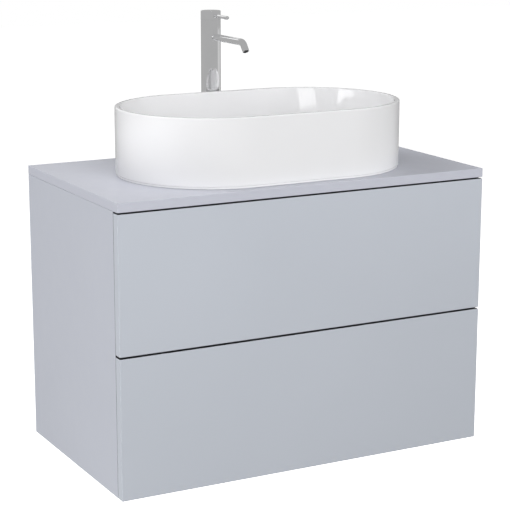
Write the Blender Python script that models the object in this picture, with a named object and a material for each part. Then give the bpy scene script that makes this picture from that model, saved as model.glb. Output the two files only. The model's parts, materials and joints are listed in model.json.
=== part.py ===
"""Wall-hung two-drawer vanity with a vessel basin and a tall single-lever tap.

Metres, +Z up.  The wall is the plane y = 0 and the drawers face -Y.  The origin
is the centre of the wall rail's back face, which is where the object is held up.
"""
from math import cos, pi, radians, sin

import bmesh
import bpy
from mathutils import Matrix, Vector

# ---- cabinet -------------------------------------------------------------
WIDTH = 0.800
DEPTH = 0.456
HEIGHT = 0.569               # worktop's top to the cabinet's bottom edge
TOP = 0.075                  # worktop's top above the origin
WORKTOP_T = 0.018
PANEL_T = 0.016
FRONT_T = 0.0195
FRONT_GAP = 0.0012           # carcass to drawer front, room for the push-in travel
TOP_GAP = 0.003              # shadow gap under the worktop
MID_GAP = 0.0035             # shadow gap between the two fronts
MID_GAP_DROP = 0.2906        # worktop's top to the middle of that gap
FIT = 0.0003                 # gap between pieces that touch
EDGE = 0.0006                # chamfer on a board's edges

HALF = WIDTH / 2
BOTTOM = TOP - HEIGHT
UNDER_TOP = TOP - WORKTOP_T - FIT
INSIDE = HALF - PANEL_T
CARCASS_FRONT = -(DEPTH - FRONT_T - FRONT_GAP)
FRONT_BACK = -(DEPTH - FRONT_T)
BACK_RAIL_Y = -0.020         # rear face of the back rails
BACK_RAIL_H = 0.100
FRONT_RAIL_DEPTH = 0.070
TAP_NOTCH_HALF = 0.032
TAP_NOTCH_DROP = 0.058

# ---- wall rail and hangers ----------------------------------------------
STEEL_T = 0.0025
RAIL_HALF_X = 0.360
RAIL_HALF_Z = 0.030
LIP_FOOT_Z = 0.012           # where the rail's lip leaves the wall
LIP_STAND_OFF = 0.0065       # wall to the lip's rear face
HANGER_X = 0.300
HANGER_WIDTH = 0.070

# ---- drawers and runners -------------------------------------------------
RUNNER_T = 0.0127
RUNNER_LENGTH = 0.380
RUNNER_FRONT = CARCASS_FRONT + 0.005
RUNNER_HALF_Z = 0.0225
SHEET_T = 0.0012
BOX_SIDE_T = 0.012
BOX_BOTTOM_T = 0.008
BOX_LENGTH = 0.380
RUNNER_ABOVE_BOX = 0.040     # runner's centre above the drawer box's underside
UPPER_BOX = (TOP - 0.266, TOP - 0.086)
LOWER_BOX = (TOP - 0.5435, TOP - 0.3435)
SLOT_HALF = 0.080            # half width of the slot that clears the trap
SLOT_FRONT = -0.305
SLOT_CORNER = 0.030
SLOT_WALL = 0.010

# ---- basin ---------------------------------------------------------------
BASIN_LENGTH = 0.594
BASIN_WIDTH = 0.374
BASIN_HEIGHT = 0.135
BASIN_Y = -0.2473
RIM_T = 0.010
RIM_ROUND = 0.003
WALL_LEAN = 0.0145           # how far the inner wall leans in from rim to fillet
FOOT_INSET = 0.0013
FOOT_HEIGHT = 0.0045
DRAIN_R = 0.0235
RING_POINTS = 28             # points along each half-round end

# ---- waste and trap ------------------------------------------------------
WASTE_R = 0.0208
WASTE_BORE = 0.0175
WASTE_END = TOP - 0.072
PIPE_R = 0.016
PIPE_BORE = 0.0145
TRAP_OUTLET_Z = TOP - 0.148
STEM_R = 0.004

# ---- tap -----------------------------------------------------------------
TAP_Y = -0.0318
TAP_R = 0.0209
TAP_BORE = 0.0165
TAP_HEIGHT = 0.3000
CAP_HEIGHT = 0.018
SEAM = 0.0004
CHAMBER_WEB = (0.2570, 0.2600)   # solid web above the water chamber
SPOUT_Z = TOP + 0.2462
SPOUT_R = 0.0071
SPOUT_BORE = 0.0057
SPOUT_BEND_Y = -0.1690
SPOUT_BEND_R = 0.0162
SPOUT_BEND = radians(51.5)
SPOUT_TIP = 0.0141
LEVER_Z = TOP + 0.2900
LEVER_R = 0.0038
LEVER_TIP_Y = -0.1102
LEVER_ROUND = 0.0017             # rounding of the lever's end
STEM_SEAT = 0.2697               # foot of the stem's socket in the cartridge
STEM_TOP = 0.2938


def clear_scene():
    """Remove every object of the scene."""
    for old in list(bpy.data.objects):
        bpy.data.objects.remove(old, do_unlink=True)


def make_material(name, colour, roughness, metallic=0.0):
    """A Principled material with one colour."""
    mat = bpy.data.materials.new(name)
    mat.use_nodes = True
    shader = mat.node_tree.nodes["Principled BSDF"]
    shader.inputs["Base Color"].default_value = (*colour, 1.0)
    shader.inputs["Roughness"].default_value = roughness
    shader.inputs["Metallic"].default_value = metallic
    return mat


FINISHES = {
    "lacquer": ((0.56, 0.58, 0.62), 0.45, 0.0),
    "carcass": ((0.52, 0.54, 0.58), 0.5, 0.0),
    "drawer_board": ((0.62, 0.62, 0.62), 0.55, 0.0),
    "galvanised": ((0.55, 0.56, 0.58), 0.4, 1.0),
    "ceramic": ((0.86, 0.87, 0.88), 0.08, 0.0),
    "chrome": ((0.75, 0.75, 0.76), 0.06, 1.0),
    "brass": ((0.72, 0.58, 0.32), 0.3, 1.0),
    "steel": ((0.6, 0.6, 0.61), 0.3, 1.0),
    "white_plastic": ((0.85, 0.85, 0.85), 0.4, 0.0),
    "grey_plastic": ((0.35, 0.36, 0.38), 0.45, 0.0),
    "black_plastic": ((0.02, 0.02, 0.02), 0.4, 0.0),
    "rubber": ((0.05, 0.05, 0.05), 0.7, 0.0),
    "silicone": ((0.78, 0.79, 0.80), 0.5, 0.0),
}


def add_object(name, bm, finish, smooth=None, rotation=None, location=None):
    """Turn a bmesh into a named object, with outward faces and its own material."""
    bmesh.ops.recalc_face_normals(bm, faces=bm.faces[:])
    mesh = bpy.data.meshes.new(name)
    bm.to_mesh(mesh)
    bm.free()
    if smooth is not None:
        mesh.shade_smooth()
        mesh.set_sharp_from_angle(angle=radians(smooth))
    mesh.materials.append(make_material(name + "_finish", *FINISHES[finish]))
    item = bpy.data.objects.new(name, mesh)
    bpy.context.collection.objects.link(item)
    if rotation is not None:
        item.rotation_euler = rotation
    if location is not None:
        item.location = location
    return item


def add_boolean(item, other, operation):
    """Cut another object out of this one, or unite it; the other becomes a hidden guide."""
    modifier = item.modifiers.new(operation.lower(), "BOOLEAN")
    modifier.operation = operation
    modifier.solver = "EXACT"
    modifier.object = other
    other.hide_render = True
    other.display_type = "WIRE"


def add_bevel(item, width, segments=1, angle=40):
    """Chamfer or round the edges sharper than an angle."""
    modifier = item.modifiers.new("edges", "BEVEL")
    modifier.width = width
    modifier.segments = segments
    modifier.limit_method = "ANGLE"
    modifier.angle_limit = radians(angle)


def board(name, low, high, finish, edge=EDGE):
    """A rectangular board between two corners, with chamfered edges."""
    low = Vector(low)
    high = Vector(high)
    bm = bmesh.new()
    bmesh.ops.create_cube(bm, size=1.0)
    for vert in bm.verts:
        for axis in range(3):
            vert.co[axis] = high[axis] if vert.co[axis] > 0 else low[axis]
    item = add_object(name, bm, finish)
    if edge:
        add_bevel(item, edge)
    return item


def extrusion(name, outline, start, end, axis, finish, edge=0.0):
    """A closed outline carried straight along one axis.

    The outline's pairs are (y, z) for axis X, (x, z) for axis Y, (x, y) for axis Z.
    """
    places = {"X": lambda a, b, c: (c, a, b), "Y": lambda a, b, c: (a, c, b), "Z": lambda a, b, c: (a, b, c)}
    place = places[axis]
    bm = bmesh.new()
    face = bm.faces.new([bm.verts.new(place(a, b, start)) for a, b in outline])
    moved = bmesh.ops.extrude_face_region(bm, geom=[face])["geom"]
    verts = [g for g in moved if isinstance(g, bmesh.types.BMVert)]
    bmesh.ops.translate(bm, verts=verts, vec=Vector(place(0, 0, end - start)))
    item = add_object(name, bm, finish)
    if edge:
        add_bevel(item, edge)
    return item


def turned(name, profile, location, finish, steps=24, rotation=None, smooth=35):
    """A closed outline of (radius, height) pairs turned full circle about local Z."""
    bm = bmesh.new()
    verts = [bm.verts.new((r, 0.0, h)) for r, h in profile]
    edges = [bm.edges.new((verts[i - 1], verts[i])) for i in range(len(verts))]
    on_axis = [e for e in edges if max(v.co.x for v in e.verts) == 0.0]
    bmesh.ops.delete(bm, geom=on_axis, context="EDGES")
    bmesh.ops.spin(bm, geom=bm.verts[:] + bm.edges[:], cent=(0, 0, 0), axis=(0, 0, 1),
                   angle=2 * pi, steps=steps, use_merge=True, use_normal_flip=False)
    bmesh.ops.remove_doubles(bm, verts=bm.verts[:], dist=0.000001)
    bmesh.ops.dissolve_degenerate(bm, dist=0.000001, edges=bm.edges[:])
    return add_object(name, bm, finish, smooth, rotation, location)


def rod(name, radius, low, high, axis, centre, steps=24):
    """A plain round guide used as a cutter, from low to high along an axis."""
    profile = [(0.0, low), (radius, low), (radius, high), (0.0, high)]
    turn = {"X": (0, pi / 2, 0), "Y": (-pi / 2, 0, 0), "Z": None}[axis]
    return turned(name, profile, centre, "steel", steps, turn)


def rings_to_body(name, rings, finish, smooth, closed=True):
    """Join equal rings of points into one closed skin, the last ring back to the first."""
    bm = bmesh.new()
    loops = [[bm.verts.new(p) for p in ring] for ring in rings]
    count = len(loops[0])
    last = len(loops) if closed else len(loops) - 1
    for i in range(last):
        a = loops[i]
        b = loops[(i + 1) % len(loops)]
        for j in range(count):
            k = (j + 1) % count
            bm.faces.new((a[j], a[k], b[k], b[j]))
    return add_object(name, bm, finish, smooth)


def hex_nut(name, flats, bore, low, high, centre, finish, points=24):
    """A six-sided nut with a round bore, its axis along Z."""
    def six_sided(j):
        angle = 2 * pi * j / points
        return flats / 2 / cos((angle % (pi / 3)) - pi / 6)
    rings = []
    for height, outer in ((low, True), (high, True), (high, False), (low, False)):
        ring = []
        for j in range(points):
            radius = six_sided(j) if outer else bore
            angle = 2 * pi * j / points
            ring.append((centre[0] + radius * cos(angle), centre[1] + radius * sin(angle), height))
        rings.append(ring)
    return rings_to_body(name, rings, finish, 35)


def arc(centre, radius, start, end, steps):
    """Points on an arc, from one angle to another in degrees."""
    angles = [radians(start + (end - start) * i / steps) for i in range(steps + 1)]
    return [(centre[0] + radius * cos(a), centre[1] + radius * sin(a)) for a in angles]


# ---- cabinet -------------------------------------------------------------
def build_carcass():
    """Worktop, side panels, bottom panel and the three rails."""
    worktop = board("worktop", (-HALF, -DEPTH, TOP - WORKTOP_T), (HALF, 0, TOP), "lacquer")
    drop = (TOP - 2 * WORKTOP_T, TOP + WORKTOP_T)
    add_boolean(worktop, rod("cut_drain", 0.025, *drop, "Z", (0, BASIN_Y, 0), 28), "DIFFERENCE")
    add_boolean(worktop, rod("cut_tap", 0.0175, *drop, "Z", (0, TAP_Y, 0)), "DIFFERENCE")
    for side, sign in (("left", -1), ("right", 1)):
        xs = sorted((sign * HALF, sign * INSIDE))
        board("side_panel_" + side, (xs[0], CARCASS_FRONT, BOTTOM), (xs[1], 0, UNDER_TOP), "carcass")
    inner = INSIDE - FIT
    board("bottom_panel", (-inner, CARCASS_FRONT, BOTTOM), (inner, -0.002, BOTTOM + PANEL_T), "carcass")
    board("front_rail", (-inner, CARCASS_FRONT, UNDER_TOP - PANEL_T),
          (inner, CARCASS_FRONT + FRONT_RAIL_DEPTH, UNDER_TOP), "carcass")
    rail_front = BACK_RAIL_Y - PANEL_T
    low = UNDER_TOP - BACK_RAIL_H
    notch = UNDER_TOP - TAP_NOTCH_DROP
    outline = [(-inner, low), (inner, low), (inner, UNDER_TOP), (TAP_NOTCH_HALF, UNDER_TOP),
               (TAP_NOTCH_HALF, notch), (-TAP_NOTCH_HALF, notch), (-TAP_NOTCH_HALF, UNDER_TOP),
               (-inner, UNDER_TOP)]
    extrusion("back_rail_upper", outline, rail_front, BACK_RAIL_Y, "Y", "carcass", EDGE)
    foot = BOTTOM + PANEL_T + FIT
    board("back_rail_lower", (-inner, rail_front, foot), (inner, BACK_RAIL_Y, foot + BACK_RAIL_H), "carcass")


def build_hanging():
    """The wall rail, and the two hangers whose hooks drop behind its lip."""
    t = STEEL_T
    lip = -LIP_STAND_OFF
    rail = [(0, -RAIL_HALF_Z), (0, LIP_FOOT_Z), (lip, LIP_FOOT_Z + 0.005), (lip, RAIL_HALF_Z),
            (lip - t, RAIL_HALF_Z), (lip - t, LIP_FOOT_Z + 0.0035), (-t, LIP_FOOT_Z - 0.0015),
            (-t, -RAIL_HALF_Z)]
    extrusion("wall_rail", rail, -RAIL_HALF_X, RAIL_HALF_X, "X", "galvanised")
    plate = BACK_RAIL_Y + FIT
    bridge = RAIL_HALF_Z + FIT
    hook = -0.0030
    hanger = [(plate, -0.030), (plate + t, -0.030), (plate + t, bridge), (hook - t, bridge),
              (hook - t, 0.0195), (hook, 0.0195), (hook, bridge + t), (plate, bridge + t)]
    for side, sign in (("left", -1), ("right", 1)):
        middle = sign * HANGER_X
        extrusion("hanger_" + side, hanger, middle - HANGER_WIDTH / 2, middle + HANGER_WIDTH / 2, "X", "steel")


# ---- drawers -------------------------------------------------------------
def channel(web, tip, half):
    """Outline of a C-shaped channel: (x, z) with its web at one x and its lips towards tip."""
    inner = web + (SHEET_T if tip > web else -SHEET_T)
    return [(web, -half), (tip, -half), (tip, -half + SHEET_T), (inner, -half + SHEET_T),
            (inner, half - SHEET_T), (tip, half - SHEET_T), (tip, half), (web, half)]


def build_runners(drawer, box_low):
    """Two telescopic runners, each of three nested channels."""
    height = box_low + RUNNER_ABOVE_BOX
    members = (
        ("cabinet", FIT, 0.0098, RUNNER_HALF_Z),
        ("middle", 0.0046, 0.0104, 0.0185),
        ("drawer", RUNNER_T - FIT, 0.0062, 0.0145),
    )
    for side, sign in (("left", -1), ("right", 1)):
        for member, web, tip, half in members:
            outline = [(sign * (INSIDE - x), height + z) for x, z in channel(web, tip, half)]
            extrusion(f"{drawer}_runner_{side}_{member}", outline, RUNNER_FRONT,
                      RUNNER_FRONT + RUNNER_LENGTH, "Y", "galvanised")


def build_drawer_sides(drawer, box):
    """The two side boards of a drawer box."""
    outer = INSIDE - RUNNER_T
    low = box[0] + BOX_BOTTOM_T + FIT
    start = FRONT_BACK + FIT
    for side, sign in (("left", -1), ("right", 1)):
        xs = sorted((sign * outer, sign * (outer - BOX_SIDE_T)))
        board(f"{drawer}_drawer_side_{side}", (xs[0], start, low), (xs[1], start + BOX_LENGTH, box[1]),
              "drawer_board")


def build_fronts():
    """The two full-overlay drawer fronts."""
    mid = TOP - MID_GAP_DROP
    board("upper_drawer_front", (-HALF, -DEPTH, mid + MID_GAP / 2),
          (HALF, FRONT_BACK, TOP - WORKTOP_T - TOP_GAP), "lacquer")
    board("lower_drawer_front", (-HALF, -DEPTH, BOTTOM), (HALF, FRONT_BACK, mid - MID_GAP / 2), "lacquer")


def slot_path(offset):
    """Outline of the trap slot, from its left rear end round the front to its right rear end."""
    back = FRONT_BACK + FIT + BOX_LENGTH
    half = SLOT_HALF + offset
    corner = SLOT_CORNER + offset
    front = SLOT_FRONT - offset
    left = arc((-half + corner, front + corner), corner, 180, 270, 5)
    right = arc((half - corner, front + corner), corner, 270, 360, 5)
    return [(-half, back)] + left + right + [(half, back)]


def build_upper_drawer():
    """Upper drawer box, with a slot from the back that clears the trap."""
    build_drawer_sides("upper", UPPER_BOX)
    low, high = UPPER_BOX
    outer = INSIDE - RUNNER_T
    start = FRONT_BACK + FIT
    back = start + BOX_LENGTH
    slot = slot_path(0.0)
    outline = [(-outer, start), (outer, start), (outer, back)] + slot[::-1] + [(-outer, back)]
    extrusion("upper_drawer_bottom", outline, low, low + BOX_BOTTOM_T, "Z", "drawer_board")
    floor = low + BOX_BOTTOM_T + FIT
    wall = slot_path(FIT) + slot_path(SLOT_WALL)[::-1]
    extrusion("upper_drawer_trap_surround", wall, floor, high, "Z", "grey_plastic")
    inner = SLOT_HALF + SLOT_WALL + FIT
    end = outer - BOX_SIDE_T - FIT
    board("upper_drawer_back_left", (-end, back - BOX_SIDE_T, floor), (-inner, back, high), "drawer_board")
    board("upper_drawer_back_right", (inner, back - BOX_SIDE_T, floor), (end, back, high), "drawer_board")


def build_lower_drawer():
    """Lower drawer box, a plain open box behind its front."""
    build_drawer_sides("lower", LOWER_BOX)
    low, high = LOWER_BOX
    outer = INSIDE - RUNNER_T
    start = FRONT_BACK + FIT
    back = start + BOX_LENGTH
    board("lower_drawer_bottom", (-outer, start, low), (outer, back, low + BOX_BOTTOM_T), "drawer_board")
    end = outer - BOX_SIDE_T - FIT
    board("lower_drawer_back", (-end, back - BOX_SIDE_T, low + BOX_BOTTOM_T + FIT), (end, back, high),
          "drawer_board")


# ---- basin ---------------------------------------------------------------
def stadium(straight, radius, height):
    """A ring of points round two half circles joined by straight sides."""
    ring = []
    for sign, start in ((1, -90), (-1, 90)):
        for x, y in arc((sign * straight, BASIN_Y), radius, start, start + 180, RING_POINTS):
            ring.append((x, y, TOP + height))
    return ring


def circle(radius, height):
    """The same number of points evenly round a circle about the drain."""
    count = 2 * (RING_POINTS + 1)
    points = [radians(-90 + 360 * (j + 0.5) / count) for j in range(count)]
    return [(radius * cos(a), BASIN_Y + radius * sin(a), TOP + height) for a in points]


def build_basin():
    """One ceramic shell with half-round ends, its foot ring, and the seal under it."""
    straight = (BASIN_LENGTH - BASIN_WIDTH) / 2
    full = BASIN_WIDTH / 2
    foot = full - FOOT_INSET
    rings = [circle(DRAIN_R, 0.0008), circle(0.036, 0.0008), circle(0.039, 0.0050)]
    rings.append(stadium(straight, foot - 0.014, 0.0050))
    rings.append(stadium(straight, foot - 0.012, FIT))
    rings.append(stadium(straight, foot, FIT))
    rings.append(stadium(straight, foot, FOOT_HEIGHT))
    rings.append(stadium(straight, full - 0.0008, FOOT_HEIGHT + 0.0004))
    rings.append(stadium(straight, full, FOOT_HEIGHT + 0.0015))
    inside = full - RIM_T
    for angle in (0, 30, 60, 90):
        a = radians(angle)
        rings.append(stadium(straight, full - RIM_ROUND * (1 - cos(a)),
                             BASIN_HEIGHT - RIM_ROUND * (1 - sin(a))))
    for angle in (90, 60, 30, 0):
        a = radians(angle)
        rings.append(stadium(straight, inside + RIM_ROUND * (1 - cos(a)),
                             BASIN_HEIGHT - RIM_ROUND * (1 - sin(a))))
    fillet = 0.036
    floor = 0.0170
    wall_foot = inside - WALL_LEAN
    for angle in (10, 26, 42, 58, 74, 90):
        a = radians(angle)
        rings.append(stadium(straight, wall_foot - fillet * (1 - cos(a)), floor + fillet * (1 - sin(a))))
    rings.append(stadium(straight * 0.55, 0.080, 0.0155))
    rings += [circle(0.050, 0.0145), circle(0.034, 0.0138), circle(0.0325, 0.0100), circle(DRAIN_R, 0.0100)]
    rings_to_body("basin", rings, "ceramic", 40)
    bead = [stadium(straight, foot - 0.0155, FIT), stadium(straight, foot - 0.0155, 0.0040),
            stadium(straight, foot - 0.0205, 0.0040), stadium(straight, foot - 0.0225, FIT)]
    rings_to_body("basin_seal", bead, "silicone", 40)


# ---- waste and trap ------------------------------------------------------
def build_waste():
    """Waste fitting through the basin's floor and the worktop, with its rising plug."""
    place = (0, BASIN_Y, TOP)
    end = WASTE_END - TOP
    body = turned("waste_body", [
        (WASTE_R, end), (WASTE_R, 0.0123), (0.0315, 0.0123), (0.0315, 0.0136), (0.0300, 0.0145),
        (0.0190, 0.0141), (WASTE_BORE, 0.0125), (WASTE_BORE, end)], place, "chrome")
    bar = board("guide_bar", (-0.0190, BASIN_Y - 0.004, TOP - 0.024), (0.0190, BASIN_Y + 0.004, TOP - 0.014),
                "chrome", 0.0)
    bore = rod("cut_guide", STEM_R + 0.0006, -0.03, 0.0, "Z", place, 16)
    add_boolean(body, bar, "UNION")
    add_boolean(body, bore, "DIFFERENCE")
    turned("waste_seal", [(0.0245, 0.0103), (0.0305, 0.0103), (0.0305, 0.0120), (0.0245, 0.0120)],
           place, "rubber")
    hex_nut("waste_nut", 0.056, WASTE_R + FIT, UNDER_TOP - 0.012, UNDER_TOP, (0, BASIN_Y), "brass")
    turned("waste_plug", [
        (0.0, -0.040), (STEM_R, -0.040), (STEM_R, 0.0150), (0.0290, 0.0150), (0.0305, 0.0161),
        (0.0290, 0.0173), (0.0150, 0.0186), (0.0, 0.0190)], place, "chrome")


def slip_nut(name, location, outer, thread, throat, length, lip, rotation=None):
    """A ribless slip nut: a collar on a thread, with an inward lip at its far end."""
    turned(name, [(throat, 0.0), (outer - 0.001, 0.0), (outer, 0.001), (outer, length),
                  (thread, length), (thread, lip), (throat, lip)], location, "chrome", 20, rotation)


def build_trap():
    """Bottle trap under the waste, with its pipe back to the wall."""
    axis = (0, BASIN_Y, 0)
    collar = PIPE_R + 0.0043
    turned("trap_tail", [
        (PIPE_BORE, TOP - 0.190), (PIPE_R, TOP - 0.190), (PIPE_R, TOP - 0.0748), (collar, TOP - 0.0748),
        (collar, WASTE_END - FIT), (PIPE_BORE, WASTE_END - FIT)], axis, "chrome", 20)
    slip_nut("trap_inlet_nut", (0, BASIN_Y, TOP - 0.082), 0.0265, WASTE_R + FIT, PIPE_R + FIT, 0.026, 0.0068)
    slip_nut("trap_neck_nut", (0, BASIN_Y, TOP - 0.096), 0.0265, 0.0218, PIPE_R + FIT, 0.020, 0.0036,
             (pi, 0, 0))
    body = turned("trap_body", [
        (0.0, TOP - 0.190), (0.0300, TOP - 0.190), (0.0300, TOP - 0.1265), (0.0215, TOP - 0.120),
        (0.0215, TOP - 0.100), (0.0, TOP - 0.100)], axis, "chrome", 28)
    outlet = (0, BASIN_Y, TRAP_OUTLET_Z)
    add_boolean(body, rod("outlet_stub", 0.0190, 0.022, 0.060, "Y", outlet), "UNION")
    hollow = [(0.0, TOP - 0.200), (0.0275, TOP - 0.200), (0.0275, TOP - 0.1285), (0.0167, TOP - 0.122),
              (0.0167, TOP - 0.090), (0.0, TOP - 0.090)]
    add_boolean(body, turned("cut_bottle", hollow, axis, "steel", 28), "DIFFERENCE")
    add_boolean(body, rod("cut_outlet", 0.0165, 0.010, 0.070, "Y", outlet), "DIFFERENCE")
    turned("trap_cup", [
        (0.0, TOP - 0.226), (0.0260, TOP - 0.226), (0.0320, TOP - 0.221), (0.0335, TOP - 0.214),
        (0.0335, TOP - 0.170), (0.0303, TOP - 0.170), (0.0303, TOP - 0.212), (0.0275, TOP - 0.219),
        (0.0, TOP - 0.2225)], axis, "chrome", 28)
    back = (-pi / 2, 0, 0)
    slip_nut("trap_outlet_nut", (0, BASIN_Y + 0.064, TRAP_OUTLET_Z), 0.0245, 0.0193, PIPE_R + FIT, 0.020,
             0.0036, (pi / 2, 0, 0))
    start = BASIN_Y + 0.035
    turned("outlet_pipe", [(PIPE_BORE, start), (PIPE_R, start), (PIPE_R, -FIT), (PIPE_BORE, -FIT)],
           (0, 0, TRAP_OUTLET_Z), "chrome", 24, back)
    turned("wall_flange", [
        (PIPE_R + FIT, -0.011), (PIPE_R + 0.002, -0.011), (0.030, -0.0055), (0.035, -0.0020),
        (0.035, -FIT), (PIPE_R + FIT, -FIT)], (0, 0, TRAP_OUTLET_Z), "chrome", 28, back)


# ---- tap -----------------------------------------------------------------
def spout_stations():
    """Centre line of the spout in the plane x = 0, as (y, z, direction angle below -Y)."""
    stations = [(TAP_Y - TAP_BORE - 0.0004, SPOUT_Z, 0.0)]
    bends = 8
    for i in range(bends + 1):
        a = SPOUT_BEND * i / bends
        stations.append((SPOUT_BEND_Y - SPOUT_BEND_R * sin(a), SPOUT_Z - SPOUT_BEND_R * (1 - cos(a)), a))
    y, z, a = stations[-1]
    stations.append((y - SPOUT_TIP * cos(a), z - SPOUT_TIP * sin(a), a))
    return stations


def spout_ring(station, radius, count=24):
    """A circle across the spout's centre line."""
    y, z, a = station
    ring = []
    for j in range(count):
        t = 2 * pi * j / count
        rise = radius * sin(t)
        ring.append((radius * cos(t), y - rise * sin(a), z + rise * cos(a)))
    return ring


def build_spout():
    """Hollow bent spout with the aerator seated in its outlet."""
    stations = spout_stations()
    rings = [spout_ring(s, SPOUT_R) for s in stations]
    rings += [spout_ring(s, SPOUT_BORE) for s in reversed(stations)]
    rings_to_body("tap_spout", rings, "chrome", 40)
    y, z, a = stations[-1]
    depth, recess = 0.008, 0.0007
    profile = [(0.0, recess), (SPOUT_BORE - FIT, recess), (SPOUT_BORE - FIT, depth), (0.0, depth)]
    turned("tap_aerator", profile, (0, y, z), "black_plastic", 20, (a - pi / 2, 0, 0))


def build_tap_body():
    """Round column with a web between the cartridge seat and the water chamber below it."""
    place = (0, TAP_Y, TOP)
    seam = TAP_HEIGHT - CAP_HEIGHT
    under, over = CHAMBER_WEB
    body = turned("tap_body", [
        (0.0, under), (TAP_BORE, under), (TAP_BORE, 0.0016), (TAP_R, 0.0016), (TAP_R, seam - SEAM),
        (TAP_BORE, seam - SEAM), (TAP_BORE, over), (0.0, over)], place, "chrome", 40)
    hole = rod("cut_spout", SPOUT_R + FIT, -0.030, -0.010, "Y", (0, TAP_Y, SPOUT_Z))
    add_boolean(body, hole, "DIFFERENCE")
    turned("tap_base_seal", [(0.0180, FIT), (0.0203, FIT), (0.0203, 0.0013), (0.0180, 0.0013)],
           place, "rubber")
    base = turned("tap_base", [
        (STEM_R + FIT, 0.0016), (0.0162, 0.0016), (0.0162, 0.0200), (STEM_R + FIT, 0.0200)], place, "brass")
    for index, x in enumerate((-0.0105, 0.0105)):
        inlet = rod(f"cut_inlet_{index}", 0.0050, -0.01, 0.03, "Z", (x, TAP_Y, TOP), 16)
        add_boolean(base, inlet, "DIFFERENCE")
    turned("tap_cartridge", [
        (0.0, over + FIT), (0.0162, over + FIT), (0.0162, seam - 0.0007), (STEM_R + FIT, seam - 0.0007),
        (STEM_R + FIT, STEM_SEAT), (0.0, STEM_SEAT)], place, "white_plastic")
    turned("tap_stem", [
        (0.0, STEM_SEAT + FIT), (STEM_R, STEM_SEAT + FIT), (STEM_R, STEM_TOP), (0.0, STEM_TOP)],
        place, "brass", 16)


def build_tap_handle():
    """Turning cap on the column's top, with its rod pointing over the basin."""
    seam = TAP_HEIGHT - CAP_HEIGHT
    socket = STEM_TOP + FIT
    ceiling = seam + 0.0020
    cap = turned("tap_cap", [
        (0.0, socket), (STEM_R + FIT, socket), (STEM_R + FIT, ceiling), (TAP_BORE, ceiling), (TAP_BORE, seam),
        (TAP_R, seam), (TAP_R, TAP_HEIGHT - 0.0007), (TAP_R - 0.0007, TAP_HEIGHT), (0.0, TAP_HEIGHT)],
        (0, TAP_Y, TOP), "chrome", 40)
    root = -0.0062
    hole = rod("cut_lever", LEVER_R + FIT, -0.030, root, "Y", (0, TAP_Y, LEVER_Z), 20)
    add_boolean(cap, hole, "DIFFERENCE")
    low = root - FIT
    tip = LEVER_TIP_Y - TAP_Y
    end = arc((LEVER_R - LEVER_ROUND, tip + LEVER_ROUND), LEVER_ROUND, -90, 0, 3)
    turned("tap_lever", [(0.0, tip)] + end + [(LEVER_R, low), (0.0, low)],
           (0, TAP_Y, LEVER_Z), "chrome", 20, (-pi / 2, 0, 0))


def build_tap_fixing():
    """Stud, clamp washer and nut that hold the tap down through the worktop."""
    turned("tap_stud", [(0.0, -0.060), (STEM_R, -0.060), (STEM_R, 0.0150), (0.0, 0.0150)],
           (0, TAP_Y, TOP), "steel", 16)
    outline = [(x, TAP_Y + y) for x, y in arc((0, 0), 0.0215, -20, 200, 14)]
    washer = extrusion("tap_clamp_washer", outline, UNDER_TOP - 0.003, UNDER_TOP, "Z", "steel")
    hole = rod("cut_washer", STEM_R + FIT, -0.03, 0.0, "Z", (0, TAP_Y, TOP), 16)
    add_boolean(washer, hole, "DIFFERENCE")
    top = UNDER_TOP - 0.003 - FIT
    hex_nut("tap_nut", 0.013, STEM_R + FIT, top - 0.010, top, (0, TAP_Y), "steel", 18)


def main():
    """Build every piece."""
    clear_scene()
    build_carcass()
    build_hanging()
    build_fronts()
    build_upper_drawer()
    build_lower_drawer()
    build_runners("upper", UPPER_BOX[0])
    build_runners("lower", LOWER_BOX[0])
    build_basin()
    build_waste()
    build_trap()
    build_tap_body()
    build_spout()
    build_tap_handle()
    build_tap_fixing()


main()
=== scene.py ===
"""Vessel basin on a wall-hung vanity: the finished surfaces, materials and studio around the CAD frame.

Metres, +Z up.  The wall is the plane y = 0, the drawers face -Y and every piece is placed
from the frame's own boxes.  Each surface is a grid of rings worked out with numpy.
"""
from __future__ import annotations

import json
import logging
import math
from dataclasses import dataclass
from enum import Enum

import bpy
import numpy as np
from mathutils import Matrix, Vector

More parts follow.
